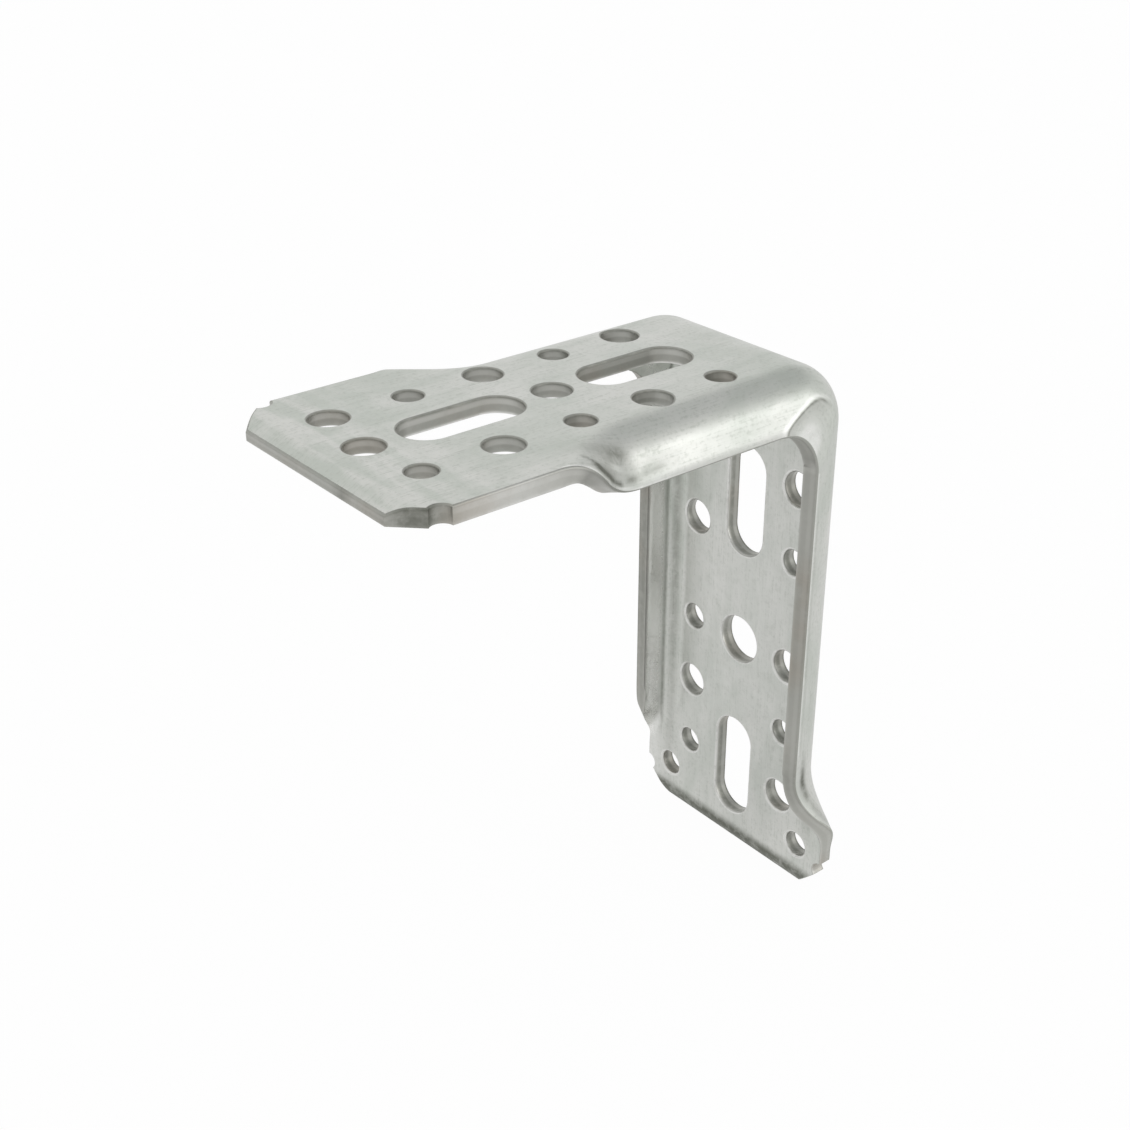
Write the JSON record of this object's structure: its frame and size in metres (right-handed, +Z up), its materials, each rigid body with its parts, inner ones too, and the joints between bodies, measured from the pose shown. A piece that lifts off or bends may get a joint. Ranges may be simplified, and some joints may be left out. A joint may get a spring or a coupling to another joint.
{
  "type": "angle bracket",
  "caption": "Pressed steel angle bracket with folded side flanges and flat ears, slotted and punched for bolts and screws, for fixing a beam or shelf to a wall.",
  "frame": {"origin": "centre of the wall arm's round bolt hole, midway between its two slots, in the plane of the wall face", "axes": "+Y out of the wall face, towards the wall that the bracket is fixed to; +Z up, out of the shelf arm's top face; +X across the strip"},
  "size_m": [0.0682, 0.1215, 0.1435],
  "materials": {
    "zinc_steel": "satin zinc coating with soft rolling smears"
  },
  "bodies": {
    "root": {"bracket": "zinc_steel"}
  },
  "joints": []
}
